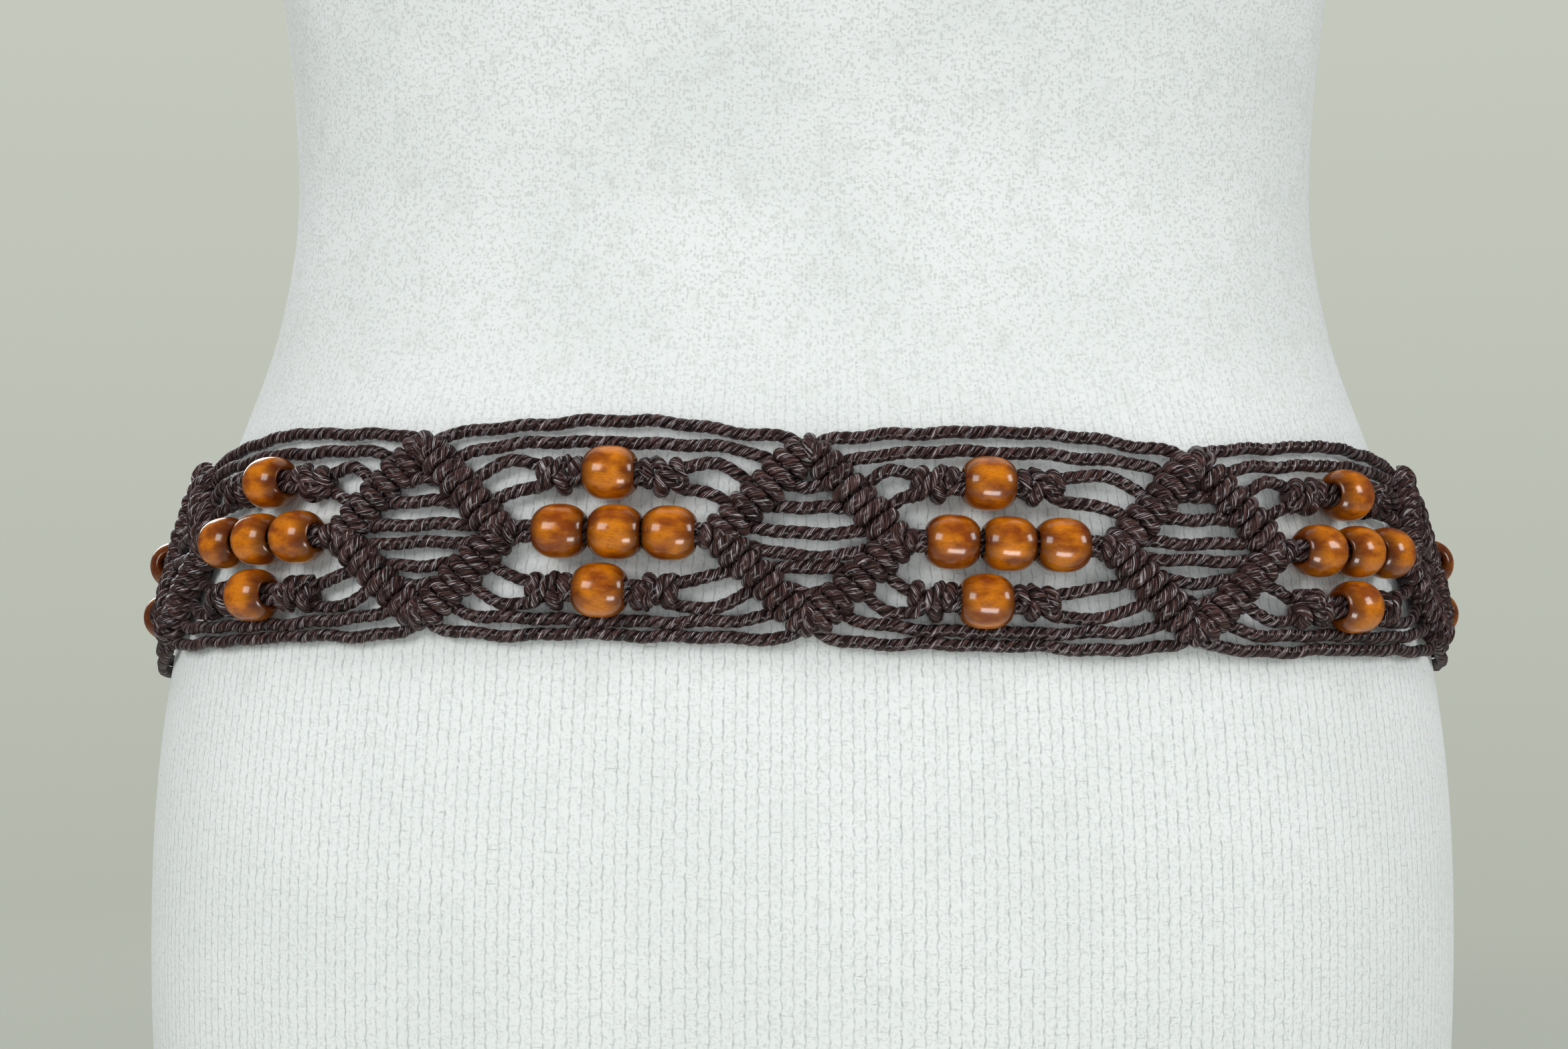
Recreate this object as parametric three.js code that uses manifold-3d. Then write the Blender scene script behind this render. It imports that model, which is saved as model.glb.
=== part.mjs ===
// A macrame belt of waxed cord and wooden beads, tied round a cloth-covered dress form.
//
// Millimetres, +Z up. The origin is on the form's flat underside, below the middle of its waist, and the
// belt's front faces -Y. The belt is knotted flat: u runs along it from the centre front, v runs up it, and
// w is the distance out from the form. place() lays those three on the form's skin.
import * as THREE from "three";
import { mergeVertices } from "three/addons/utils/BufferGeometryUtils.js";
import Module from "manifold-3d";

const wasm = await Module();
wasm.setup();

// Driving sizes of the belt
const CORD = 2.5; // diameter of the waxed cord
const BEAD = { across: 11.6, long: 11, hole: 5, sides: 7 };
const BEADS = { up: 11.95, first: 11.8, last: 11.35 }; // from the middle bead of a panel to the others
const PITCH = 84.6; // from one knotted diamond to the next
const ENDS = 4; // diamonds on each side of the centre front one
const DIAMOND = { half: 19, rise: 17.8 }; // centre of the knotted rows, corner to centre
const ROW = { half: 3.5, high: 3.3, dip: 0.8, hitches: 4 }; // a row of double half hitches
const HITCH = { first: 0.02, step: 0.24, edge: 0.8 }; // along the row from its peak, and a cord's offset
const CLEAR = 0.5; // between the cord and the form
const SEAM = 0.3; // between neighbouring solids
const CORD_SIDES = 4;
const BAR_SIDES = 4;
const STEP = 14; // longest straight step of a cord round the form
const INNER_SAG = 0.6; // of the slack cords inside a diamond
const CORE_RADIUS = 1.45; // the two cords inside a bead, drawn tight
const KNOT = { long: 10, half: 4, high: 3.5, sizes: [0.6, 1, 0.74, 0.92], gap: 0.4 }; // beside a bead
const LEAVE_BEND = 9; // this far past its hitch, a long cord lies on the form again
const VERTEX = { radius: 2.8, long: 3 }; // the hitch at a diamond's side corner, where its two rows cross
// The long cords of a panel: the hitch they leave from, and their heights just past it and at mid panel
const LONG_CORDS = [
  { sign: 1, hitch: 0, leave: 22.2, mid: 24.2 },
  { sign: 1, hitch: 1, leave: 18, mid: 19.4 },
  { sign: -1, hitch: 1, leave: 16.8, mid: 17.8 },
  { sign: -1, hitch: 0, leave: 20.6, mid: 21 },
];
// Each panel, from one end of the belt to the other: how far its middle bead lies from its middle, how far
// the upper and lower beads lie from that bead, and how much further its lower cords hang
const PANELS = [
  { middle: 0.6, upper: 1.2, lower: -1.4, hang: 0 },
  { middle: -0.9, upper: -1.8, lower: 1.6, hang: 4 },
  { middle: 2.2, upper: 1.1, lower: -1.5, hang: 0 },
  { middle: 1.9, upper: -1.4, lower: -3.6, hang: 0 },
  { middle: -0.5, upper: -4, lower: -4.5, hang: 0 },
  { middle: -1.6, upper: -1.4, lower: -1.2, hang: 0 },
  { middle: 1.1, upper: 1.5, lower: -0.9, hang: 3 },
  { middle: -0.4, upper: -0.8, lower: 2, hang: 0 },
];
// The closure at the back, where it isn't seen: each end gathered, then bound together, and two tassels
const GATHER = { start: DIAMOND.half + 25, long: 13, half: 6.4, high: 5.6, dip: 0.84, turns: 5, sides: 6, w: 5.95 };
const TIE = { half: 4.2, sides: 6, apart: 5.2, steps: 6 };
const BIND = { top: -13, long: 14, half: 11.2, high: 6.2, dip: 0.86, turns: 5, sides: 8, w: 6.55 };
const TASSEL = { apart: 8.2, strands: 5, layers: 2, spread: 2.9, long: 82, fan: 0.09, drift: 1 };
const TASSEL_HEAD = { long: 6, w: 4.95, top: { half: 7.6, high: 3.8 }, foot: { half: 8.2, high: 4.2 } };
const SMOOTHED = 0.2; // slivers thinner than this are joined to their neighbours

// Where the belt sits on the form
const BELT_Z = 190;
const TILT = 0.074; // how much lower it sits for each millimetre further back
const WAVE = 1.6; // the front rises on one side of the middle and falls on the other
const LEAN = 0.285; // its upper edge reaches further round than its lower edge, as the form narrows
const SHIFT = 0.4; // its middle diamond is this far from the centre front
const ARC_W = 4; // the belt's length is measured this far out from the skin

// The form, from its flat base to the neck: half width, depth in front of and behind the middle
const FORM = [
  { z: 0, half: 151, front: 106, back: 116 },
  { z: 60, half: 157.5, front: 111, back: 125 },
  { z: 110, half: 158.5, front: 112, back: 128 },
  { z: 150, half: 155.5, front: 110, back: 122 },
  { z: 190, half: 147.5, front: 106, back: 110 },
  { z: 215, half: 138, front: 100, back: 99 },
  { z: 240, half: 129.5, front: 93, back: 90 },
  { z: 272, half: 125, front: 87, back: 84 },
  { z: 320, half: 128.5, front: 90, back: 88 },
  { z: 380, half: 138, front: 102, back: 93 },
  { z: 440, half: 148, front: 112, back: 97 },
  { z: 500, half: 156, front: 106, back: 98 },
  { z: 560, half: 163, front: 88, back: 92 },
  { z: 600, half: 164, front: 73, back: 84 },
  { z: 630, half: 150, front: 62, back: 74 },
  { z: 652, half: 118, front: 55, back: 65 },
  { z: 672, half: 76, front: 51, back: 57 },
  { z: 690, half: 56, front: 49, back: 51 },
  { z: 735, half: 50, front: 48, back: 48 },
];
const FORM_POWER = 2.6; // 2 is an ellipse, and more is squarer
const NECK_POWER = 2.0;
const NECK_FROM = 600;
const FORM_SIDES = 32;
const FORM_RINGS = [0, 60, 110, 150, 170, 190, 215, 240, 272, 320, 380, 440, 500, 560, 600, 630, 652, 672, 690, 735];

// Colours
const CORD_BROWN = 0x4a3a36;
const BEAD_AMBER = 0xa8611c;
const COVER_WHITE = 0xe4e8e6;

// A smooth curve through the rows of a table, read at x.
function smooth(rows, key, value, x) {
  const last = rows.length - 1;
  let i = 0;
  while (i < last - 1 && x > rows[i + 1][key]) i++;
  const slope = (j) => {
    const a = rows[Math.max(j - 1, 0)];
    const b = rows[Math.min(j + 1, last)];
    return (b[value] - a[value]) / (b[key] - a[key]);
  };
  const a = rows[i];
  const b = rows[i + 1];
  const span = b[key] - a[key];
  const t = THREE.MathUtils.clamp((x - a[key]) / span, 0, 1);
  const keepA = 2 * t ** 3 - 3 * t ** 2 + 1;
  const keepB = 1 - keepA;
  const leaveA = (t ** 3 - 2 * t ** 2 + t) * span * slope(i);
  const enterB = (t ** 3 - t ** 2) * span * slope(i + 1);
  return keepA * a[value] + keepB * b[value] + leaveA + enterB;
}

// A point of the form's skin, at an angle round it from the front, and a height.
function skin(angle, z) {
  const s = Math.abs(Math.sin(angle));
  const c = Math.cos(angle);
  const half = smooth(FORM, "z", "half", z);
  const deep = smooth(FORM, "z", c > 0 ? "front" : "back", z);
  const round = THREE.MathUtils.smoothstep(z, NECK_FROM, FORM.at(-2).z);
  const power = THREE.MathUtils.lerp(FORM_POWER, NECK_POWER, round);
  const r = ((s / half) ** power + (Math.abs(c) / deep) ** power) ** (-1 / power);
  return new THREE.Vector3(r * Math.sin(angle), -r * c, z);
}

// The skin's outward direction.
function outward(angle, z) {
  const d = 1e-3;
  const across = skin(angle + d, z).sub(skin(angle - d, z));
  const up = skin(angle, z + d).sub(skin(angle, z - d));
  return across.cross(up).normalize();
}

// The belt's length from the centre front, at each angle of a fine table.
const ARC = (() => {
  const steps = 360;
  const at = (i) => {
    const angle = (Math.PI * i) / steps;
    return skin(angle, BELT_Z).addScaledVector(outward(angle, BELT_Z), ARC_W);
  };
  const rows = [{ angle: 0, u: 0 }];
  let before = at(0);
  for (let i = 1; i <= steps; i++) {
    const here = at(i);
    rows.push({ angle: (Math.PI * i) / steps, u: rows.at(-1).u + here.distanceTo(before) });
    before = here;
  }
  return rows;
})();
const BACK_U = ARC.at(-1).u; // the centre back

// The angle round the form at a length u, which may run on past the centre back.
function angleAt(u) {
  if (u > BACK_U) return 2 * Math.PI - angleAt(2 * BACK_U - u);
  const far = Math.abs(u);
  let low = 0;
  let high = ARC.length - 1;
  while (high - low > 1) {
    const mid = (low + high) >> 1;
    if (ARC[mid].u < far) low = mid;
    else high = mid;
  }
  const t = (far - ARC[low].u) / (ARC[high].u - ARC[low].u);
  return Math.sign(u) * THREE.MathUtils.lerp(ARC[low].angle, ARC[high].angle, t);
}

// The height of the belt's middle line.
function middle(u, angle) {
  const back = skin(angle, BELT_Z).y - skin(0, BELT_Z).y;
  return BELT_Z - TILT * back - WAVE * Math.sin((Math.PI * u) / (2 * PITCH)) * Math.cos(angle / 2);
}

// From the flat belt to the form.
function place(p) {
  const round = (Math.PI * p.x) / BACK_U;
  const angle = angleAt(p.x + SHIFT * Math.cos(round / 2) + LEAN * p.y * Math.sin(round));
  const z = middle(p.x, angle) + p.y;
  return skin(angle, z).addScaledVector(outward(angle, z), p.z);
}

const at = (u, v, w) => new THREE.Vector3(u, v, w);

// A closed solid through rings of points that all have the same number of points.
function loft(rings) {
  const sides = rings[0].length;
  const corner = (ring, i) => ring * sides + (i % sides);
  const index = [];
  for (let k = 0; k + 1 < rings.length; k++) {
    for (let i = 0; i < sides; i++) {
      index.push(corner(k, i), corner(k, i + 1), corner(k + 1, i + 1));
      index.push(corner(k, i), corner(k + 1, i + 1), corner(k + 1, i));
    }
  }
  for (let i = 1; i + 1 < sides; i++) {
    index.push(corner(0, 0), corner(0, i + 1), corner(0, i));
    const end = rings.length - 1;
    index.push(corner(end, 0), corner(end, i), corner(end, i + 1));
  }
  const geometry = new THREE.BufferGeometry().setFromPoints(rings.flat());
  geometry.setIndex(index);
  return geometry;
}

// A tube along points of the flat belt, laid on the form. half is its radius across the belt's face and high
// its radius away from the form, each at every point, and its section has the area of that ellipse. endAlong
// is the way that its far end faces.
function tube(path, half, high, sides, turn, endAlong) {
  const reach = Math.sqrt((2 * Math.PI) / (sides * Math.sin((2 * Math.PI) / sides)));
  const out = at(0, 0, 1);
  const last = path.length - 1;
  const rings = path.map((c, k) => {
    const step = path[Math.min(k + 1, last)].clone().sub(path[Math.max(k - 1, 0)]);
    const along = (k === last && endAlong) || step.normalize();
    const side = out.clone().cross(along).normalize();
    const up = along.clone().cross(side);
    return Array.from({ length: sides }, (_, i) => {
      const a = (2 * Math.PI * i) / sides + turn;
      const p = c.clone().addScaledVector(side, Math.cos(a) * half[k] * reach);
      return place(p.addScaledVector(up, Math.sin(a) * high[k] * reach));
    });
  });
  return loft(rings);
}

// A plain cord along a path, with a flat side on the form.
function straightCord(path, endAlong, sizes = path.map(() => CORD / 2)) {
  return tube(path, sizes, sizes, CORD_SIDES, Math.PI / CORD_SIDES, endAlong);
}

// A plain cord that bends smoothly through a few points.
function cord(points, endAlong) {
  const curve = new THREE.CatmullRomCurve3(points, false, "centripetal");
  return straightCord(curve.getSpacedPoints(Math.ceil(curve.getLength() / STEP)), endAlong);
}

// A bar along a path whose thickness changes with sizes, with a flat side on the form.
function bar(path, half, high, sizes, sides = BAR_SIDES) {
  const widths = sizes.map((size) => half * size);
  const heights = sizes.map((size) => high * size);
  return tube(path, widths, heights, sides, Math.PI / sides - Math.PI / 2);
}

// A straight bar with its sizes evenly spaced along it.
function lumpyBar(from, to, half, high, sizes, sides) {
  const path = sizes.map((_, i) => from.clone().lerp(to, i / (sizes.length - 1)));
  return bar(path, half, high, sizes, sides);
}

// The sizes of turns of cord lying side by side: each one is a lump, with a dip before and after it.
const turns = (count, dip) => Array.from({ length: 2 * count + 1 }, (_, i) => (i % 2 ? 1 : dip));

function solid(geometry) {
  const merged = mergeVertices(geometry, 1e-4);
  const triVerts = new Uint32Array(merged.index.array);
  const vertProperties = merged.attributes.position.array;
  return new wasm.Manifold(new wasm.Mesh({ numProp: 3, vertProperties, triVerts }));
}

function joined(geometries) {
  const mesh = wasm.Manifold.union(geometries.map(solid)).asOriginal().simplify(SMOOTHED).getMesh();
  const geometry = new THREE.BufferGeometry();
  geometry.setAttribute("position", new THREE.BufferAttribute(mesh.vertProperties, 3));
  geometry.setIndex(new THREE.BufferAttribute(mesh.triVerts, 1));
  return geometry;
}

// Heights above the skin
const LOW_W = CORD / 2 + CLEAR; // a cord that lies on the form
const ROW_W = ROW.high + CLEAR; // the middle of a knotted row
const BEAD_W = BEAD.across / 2 + CLEAR; // a bead's hole
const KNOT_W = KNOT.high + CLEAR; // the knots beside a bead

// Where a cord enters or leaves a hitch in a row. Hitches are counted from the peak, side is 1 towards +u,
// sign is 1 upwards, and out is 1 on the row's outer edge and -1 inside the diamond.
function onRow(centre, side, sign, hitch, out) {
  const t = HITCH.first + HITCH.step * hitch;
  const slant = Math.hypot(DIAMOND.half, DIAMOND.rise);
  const u = DIAMOND.half * t + (out * HITCH.edge * DIAMOND.rise) / slant;
  const v = DIAMOND.rise * (1 - t) + (out * HITCH.edge * DIAMOND.half) / slant;
  return at(centre + side * u, sign * v, ROW_W);
}

// The rows of double half hitches round a diamond: one pair above that meets in a peak, and one below.
function diamond(centre) {
  const sizes = turns(2 * ROW.hitches, ROW.dip);
  return [1, -1].map((sign) => {
    const path = sizes.map((_, i) => {
      const t = i / ROW.hitches / 2 - 1;
      return at(centre + DIAMOND.half * t, sign * DIAMOND.rise * (1 - Math.abs(t)), ROW_W);
    });
    return bar(path, ROW.half, ROW.high, sizes);
  });
}

// The slack cords that cross inside a diamond, from row to row.
function innerCords(centre) {
  const pieces = [];
  for (const sign of [1, -1]) {
    for (const hitch of [1, 2, 3]) {
      const from = onRow(centre, -1, sign, hitch, -1);
      const to = onRow(centre, 1, sign, hitch, -1);
      pieces.push(cord([from, at(centre, from.y - INNER_SAG, LOW_W), to]));
    }
  }
  return pieces;
}

// The long cords, knots and bead strands beside a diamond, up to the middle of the panel.
function halfPanel(centre, side, panel) {
  const pieces = [];
  const u = (x) => centre + side * x;
  const across = at(side, 0, 0);
  const edge = PITCH / 2 - SEAM / 2;
  for (const { sign, hitch, leave, mid } of LONG_CORDS) {
    const start = onRow(centre, side, sign, hitch, 1);
    const bend = at(start.x + side * LEAVE_BEND, sign * leave, LOW_W);
    const stop = at(u(edge), sign * mid - (sign < 0 ? panel.hang : 0), LOW_W);
    pieces.push(cord([start, bend, stop], across));
  }
  const middleBead = edge + side * panel.middle;
  for (const [sign, shift] of [[1, panel.upper], [-1, panel.lower]]) {
    const v = sign * BEADS.up;
    const end = middleBead + side * shift;
    const to = end - BEAD.long / 2 - KNOT.gap;
    const from = to - KNOT.long;
    for (const hitch of [2, 3]) {
      pieces.push(cord([onRow(centre, side, sign, hitch, 1), at(u(from + 2), v, KNOT_W)]));
    }
    pieces.push(lumpyBar(at(u(from), v, KNOT_W), at(u(to), v, KNOT_W), KNOT.half, KNOT.high, KNOT.sizes));
    const strand = [at(u(to - 2), v, BEAD_W), at(u(end), v, BEAD_W)];
    pieces.push(straightCord(strand, across, [CORE_RADIUS, CORE_RADIUS]));
  }
  const step = side > 0 ? BEADS.first : BEADS.last;
  const strand = [middleBead - 1.5 * step, middleBead - step / 2, middleBead].map((x) => at(u(x), 0, BEAD_W));
  const vertex = [at(u(DIAMOND.half), 0, ROW_W), at(u(DIAMOND.half + VERTEX.long), 0, ROW_W + 1)];
  const sizes = [...vertex.map(() => VERTEX.radius), ...strand.map(() => CORE_RADIUS)];
  pieces.push(straightCord([...vertex, ...strand], across, sizes));
  return pieces;
}

// Where the net ends, its cords run together into a bundle that goes into a gathering knot.
function fan(centre, side) {
  const pieces = [];
  const u = (x) => centre + side * x;
  const mouth = GATHER.start - 9;
  for (const sign of [1, -1]) {
    for (let hitch = 0; hitch < ROW.hitches; hitch++) {
      const into = at(u(mouth), sign * 0.8 * (ROW.hitches - hitch), GATHER.w);
      pieces.push(cord([onRow(centre, side, sign, hitch, 1), into]));
    }
  }
  const bundle = [at(u(mouth - 3), 0, GATHER.w), at(u(GATHER.start - SEAM), 0, GATHER.w)];
  pieces.push(lumpyBar(...bundle, TIE.half, TIE.half, [0.8, 1, 1], TIE.sides));
  pieces.push(cord([at(u(DIAMOND.half - 2), 0, ROW_W), bundle[0]]));
  return pieces;
}

// A bead round the u axis, with its hole.
function beadShape() {
  const r = BEAD.across / 2;
  const h = BEAD.long / 2;
  const hole = BEAD.hole / 2;
  const profile = [
    [hole, -h],
    [r * 0.86, -h * 0.62],
    [r, 0],
    [r * 0.86, h * 0.62],
    [hole, h],
    [hole, -h],
  ];
  return new THREE.LatheGeometry(profile.map(([x, y]) => new THREE.Vector2(x, y)), BEAD.sides);
}

// The end of the belt beyond its gathering knot, which turns down at the centre back into the binding.
function tieEnd(side) {
  const start = ENDS * PITCH + GATHER.start + GATHER.long + SEAM;
  const down = BACK_U - TIE.apart;
  const points = [
    at(side * start, 0, GATHER.w),
    at(side * (down - 10), -1, GATHER.w),
    at(side * (down - 2), -5, GATHER.w),
    at(side * down, BIND.top + SEAM, GATHER.w),
  ];
  const path = new THREE.CatmullRomCurve3(points, false, "centripetal").getSpacedPoints(TIE.steps);
  const size = path.map(() => TIE.half);
  return tube(path, size, size, TIE.sides, 0, at(0, -1, 0));
}

// A head and its strands, which hang down the back of the form.
function tassel(side) {
  const middleU = BACK_U - TASSEL.apart;
  const top = BIND.top - BIND.long - SEAM;
  const head = [top, top - TASSEL_HEAD.long].map((v) => at(side * middleU, v, TASSEL_HEAD.w));
  const ends = [TASSEL_HEAD.top, TASSEL_HEAD.foot];
  const pieces = [tube(head, ends.map((end) => end.half), ends.map((end) => end.high), 4, Math.PI / 4)];
  for (let layer = 0; layer < TASSEL.layers; layer++) {
    for (let i = 0; i < TASSEL.strands; i++) {
      const across = (i - (TASSEL.strands - 1) / 2) * TASSEL.spread;
      const w = LOW_W + SEAM + layer * (CORD + SEAM);
      const long = TASSEL.long - 3 * ((i + layer) % 3);
      const path = [0, 1, 2, 3].map((k) => {
        const spread = across * (1 + TASSEL.fan * k) + TASSEL.drift * k;
        return at(side * (middleU - spread), top - 3 - (long * k) / 3, w);
      });
      pieces.push(straightCord(path));
    }
  }
  return joined(pieces);
}

const cordMaterial = new THREE.MeshStandardMaterial({ color: CORD_BROWN, roughness: 0.55, metalness: 0 });
const beadMaterial = new THREE.MeshStandardMaterial({ color: BEAD_AMBER, roughness: 0.2, metalness: 0 });
const coverMaterial = new THREE.MeshStandardMaterial({ color: COVER_WHITE, roughness: 0.9, metalness: 0 });

const part = new THREE.Group();

function add(name, geometry, material) {
  const mesh = new THREE.Mesh(geometry, material);
  mesh.name = name;
  part.add(mesh);
  return mesh;
}

// The dress form, its sides spaced evenly round the waist
const formRings = FORM_RINGS.map((z) =>
  Array.from({ length: FORM_SIDES }, (_, i) => skin(angleAt(BACK_U * ((2 * i) / FORM_SIDES - 1)), z)),
);
add("dress_form", loft(formRings), coverMaterial);

// The knotted net, one node for each diamond with half of the panel on each side of it
const sideName = (k) => (k === 0 ? "front" : (k < 0 ? "left_" : "right_") + Math.abs(k));
for (let k = -ENDS; k <= ENDS; k++) {
  const centre = k * PITCH;
  const pieces = [...diamond(centre), ...innerCords(centre)];
  for (const side of [1, -1]) {
    const panel = PANELS[ENDS + k + (side - 1) / 2];
    pieces.push(...(panel ? halfPanel(centre, side, panel) : fan(centre, side)));
  }
  add("net_" + sideName(k), joined(pieces), cordMaterial);
}

// The beads: three in the middle of each panel, one above and one below them
PANELS.forEach((panel, i) => {
  const centre = (i - ENDS + 0.5) * PITCH + panel.middle;
  const name = sideName(i < ENDS ? i - ENDS : i - ENDS + 1);
  const spots = [
    { bead: "first", u: centre - BEADS.first, v: 0 },
    { bead: "middle", u: centre, v: 0 },
    { bead: "last", u: centre + BEADS.last, v: 0 },
    { bead: "upper", u: centre + panel.upper, v: BEADS.up },
    { bead: "lower", u: centre + panel.lower, v: -BEADS.up },
  ];
  for (const { bead, u, v } of spots) {
    const along = place(at(u + 1, v, BEAD_W)).sub(place(at(u - 1, v, BEAD_W))).normalize();
    const mesh = add(`bead_${name}_${bead}`, beadShape(), beadMaterial);
    mesh.position.copy(place(at(u, v, BEAD_W)));
    mesh.quaternion.setFromUnitVectors(at(0, 1, 0), along);
  }
});

// The closure at the back
for (const [name, side] of [["left", -1], ["right", 1]]) {
  const start = ENDS * PITCH + GATHER.start;
  const ends = [start, start + GATHER.long].map((u) => at(side * u, 0, GATHER.w));
  const wrap = lumpyBar(...ends, GATHER.half, GATHER.high, turns(GATHER.turns, GATHER.dip), GATHER.sides);
  add("gathering_" + name, wrap, cordMaterial);
  add("tie_" + name, tieEnd(side), cordMaterial);
  add("tassel_" + name, tassel(side), cordMaterial);
}
const bindEnds = [BIND.top, BIND.top - BIND.long].map((v) => at(BACK_U, v, BIND.w));
const binding = lumpyBar(...bindEnds, BIND.half, BIND.high, turns(BIND.turns, BIND.dip), BIND.sides);
add("binding", binding, cordMaterial);

export default part;
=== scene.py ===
"""A macrame belt of brown waxed cord and wooden beads, worn on a dress form in a white knit cover.

The belt is worked out flat and then laid round the form. In the flat belt u runs along it from the centre
front, towards +X, v runs up from its middle line, and w is the height above the form's skin. Sizes are in
millimetres until a mesh is made, which is in metres.
"""

import math

import bmesh
import bpy
import numpy as np
from mathutils import Matrix


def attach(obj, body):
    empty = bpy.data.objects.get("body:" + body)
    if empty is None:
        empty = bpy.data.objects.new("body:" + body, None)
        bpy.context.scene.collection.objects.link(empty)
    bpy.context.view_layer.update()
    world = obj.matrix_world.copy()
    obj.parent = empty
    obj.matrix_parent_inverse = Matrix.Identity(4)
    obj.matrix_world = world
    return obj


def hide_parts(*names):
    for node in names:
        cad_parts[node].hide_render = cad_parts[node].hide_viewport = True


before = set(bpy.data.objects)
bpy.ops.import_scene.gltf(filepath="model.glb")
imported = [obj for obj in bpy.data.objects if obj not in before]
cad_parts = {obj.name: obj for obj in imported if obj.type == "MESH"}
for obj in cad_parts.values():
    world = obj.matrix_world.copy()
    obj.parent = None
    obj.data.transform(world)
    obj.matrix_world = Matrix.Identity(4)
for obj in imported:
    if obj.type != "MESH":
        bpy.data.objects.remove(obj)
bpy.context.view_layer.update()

MM = 0.001
OUT = np.array([0.0, 0.0, 1.0])
ACROSS = np.array([1.0, 0.0, 0.0])
chance = np.random.default_rng(11)

# The cord and its beads
CORD = 2.5
CORD_RADIUS = 1.4  # at the crests of the plies, so it is more than half of the cord's mean width
STRAND_RADIUS = 1.25  # of the two cords that go through a bead
STRAND_APART = 1.15  # each from the middle of the hole
PLIES = 3
CORD_SIDES = 4 * PLIES
GROOVE = 0.2  # how deep the grooves between the plies are, as a share of the radius
TIGHT_GROOVE = 0.07  # the same on the turns of a knot
GROOVE_POWER = 0.7  # below 1 the grooves are narrow and the plies broad
LAY = 7.8  # one turn of the plies
STEP = 0.62  # between the rings of a cord's mesh
DENSE = 24  # points to each given one of a curve, before it is resampled
TAPER = 2.0  # how much of a loose end grows thinner
PATTERN_SHIFT = 50  # how far along the pattern of its yarns a cord may start
BEAD = {"across": 11.6, "long": 11.0, "hole": 5.0, "rim": 7.1}
BARREL = 2.6  # the higher it is, the more a bead is like a cylinder
BEAD_SIDES = 40
BEAD_RINGS = 23
# How far the upper and lower beads are from the middle line, and the first and last from the middle bead
BEADS = {"up": 11.95, "first": 11.8, "last": 11.35}

# The net
PITCH = 84.6  # from one diamond to the next
ENDS = 4  # the diamonds at each side of the front one
DIAMOND = {"half": 19.0, "peak": 19.3, "foot": 17.8}  # half its width, and its tips from its middle
# Where the cords go through a row, as shares of its length, and how far off its middle they come out
HITCH = {"first": 0.04, "step": 0.24, "edge": 3.4}
# The slack cords across a diamond: how far they sag and how much that varies, how much lower than the rows
# they leave them, how far inside they have come up, at most and as a share of the way to the middle, how much
# higher than the middle they are there, and the size of their waves
SLACK = {"sag": 0.7, "spread": 0.7, "under": 1.4, "reach": 2.5, "share": 0.4, "rise": 0.1, "wave": 0.18}
# The clearance between the skin and what lies on it, and between neighbours
CLEAR = 0.5
SEAM = 0.3
# Heights above the skin
LOW_W = CORD / 2 + CLEAR
SLACK_W = LOW_W + 1.8  # the cords between two knots, which are drawn off the form
ROW_W = 3.8
UNDER = 1.2  # how much lower than the middle of a row or a knot its cords run into it
BEAD_W = BEAD["across"] / 2 + CLEAR
KNOT_W = 4.0
KNOT = {"long": 10.0, "gap": 0.4}
# The edge cords of a half panel: the hitch each comes from, how far on it bends, and its height there and in
# mid panel
LONG_CORDS = [
    {"sign": 1, "hitch": 0, "bend": 9.5, "leave": 22.2, "mid": 24.2},
    {"sign": 1, "hitch": 1, "bend": 5.0, "leave": 17.9, "mid": 19.4},
    {"sign": -1, "hitch": 1, "bend": 6.0, "leave": 17.2, "mid": 17.9},
    {"sign": -1, "hitch": 0, "bend": 9.0, "leave": 20.9, "mid": 20.8},
]
LONG_LIFT = (0.7, 1.4)  # how much higher than LOW_W they are, the outer one of each pair and the inner
LEVEL = 7.0  # how much of them is level, at the middle of the panel
HANG_SHARE = 0.4  # how much of a bottom cord's hang is there already at its bend
# How far the beads of each panel are from their even places, and how much lower its bottom cords hang
PANELS = [
    {"middle": 0.6, "upper": 1.2, "lower": -1.4, "hang": 0},
    {"middle": -0.9, "upper": -1.8, "lower": 1.6, "hang": 4},
    {"middle": 2.2, "upper": 1.1, "lower": -1.5, "hang": 0},
    {"middle": 1.9, "upper": -1.4, "lower": -3.6, "hang": 0},
    {"middle": -0.5, "upper": -4.0, "lower": -4.5, "hang": 0},
    {"middle": -1.6, "upper": -1.4, "lower": -1.2, "hang": 0},
    {"middle": 1.1, "upper": 1.5, "lower": -0.9, "hang": 3},
    {"middle": -0.4, "upper": -0.8, "lower": 2.0, "hang": 0},
]

# The two cords that run into a knot beside a bead: the hitch they come from, how far from the knot's middle
# they enter it, and how far they bulge on the way
INTO_KNOT = [
    {"hitch": 2, "into": 2.3, "bulge": 2.0},
    {"hitch": 3, "into": -1.9, "bulge": 0.2},
]
INTO_WAVE = 0.12

# The closure at the back: the gathering knots, the cords that run into them, the two ties, how they are bound
# together, and the tassels below that
GATHER = {"start": DIAMOND["half"] + 25, "long": 13.0, "half": 6.4, "high": 5.6, "turns": 5, "w": 5.95}
# How far before a gathering its cords come together and how far in they end, how far apart they are at each,
# how much farther out or in than its middle they lie, and how far off it the strands are
FAN = {"mouth": 9.0, "enter": 2.0, "apart": 1.0, "apart_in": 0.85, "outer": 1.2, "inner": -1.4, "strand": 1.2}
TIE = {"half": 4.2, "apart": 5.2, "radius": 1.3, "step": 1.2}
BIND = {"top": -13.0, "long": 14.0, "half": 11.2, "high": 6.2, "turns": 5, "w": 6.55}
TASSEL = {"apart": 8.2, "strands": 5, "layers": 2, "spread": 2.9, "long": 82.0, "fan": 0.09, "drift": 1.0}
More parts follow.
